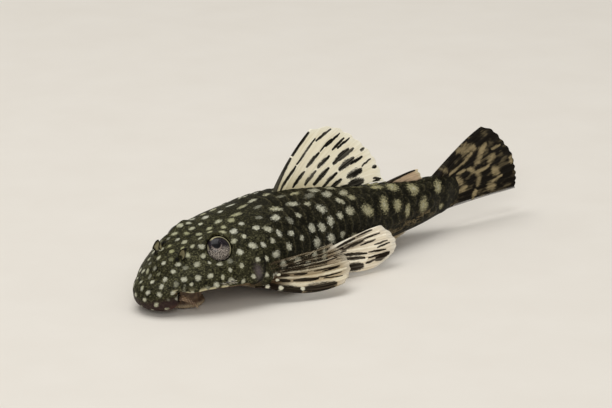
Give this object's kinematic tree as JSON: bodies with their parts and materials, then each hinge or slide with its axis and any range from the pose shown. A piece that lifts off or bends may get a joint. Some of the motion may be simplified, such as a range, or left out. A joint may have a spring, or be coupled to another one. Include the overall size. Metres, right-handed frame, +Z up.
{
  "type": "bristlenose pleco",
  "caption": "Young bristlenose pleco at life size, resting on its belly and lips with its spotted body straight, dorsal fin raised and paired fins spread on the floor.",
  "frame": {"origin": "on the floor, under the middle of the fish's outline", "axes": "+X from the head to the tail fin, +Y to the fish's right side, +Z up from the floor"},
  "size_m": [0.0624, 0.0222, 0.0178],
  "materials": {
    "skin": "damp dark olive-black skin with soft cream spots and rough bony plates",
    "lips": "soft damp tan lip",
    "fin": "thin cream membrane with dark dashes along its rays",
    "eye": "glossy wet eye with a tan iris"
  },
  "bodies": {
    "root": {"head": "skin", "torso": "skin", "tail": "skin", "upper_lip": "skin", "lower_lip": "lips", "barbel_left": "skin", "barbel_right": "skin", "eye_left": "eye", "eye_right": "eye", "dorsal_fin": "fin", "caudal_fin": "fin", "adipose_fin": "fin", "anal_fin": "fin", "pectoral_fin_left": "fin", "pectoral_fin_right": "fin", "pelvic_fin_left": "fin", "pelvic_fin_right": "fin"}
  },
  "joints": []
}
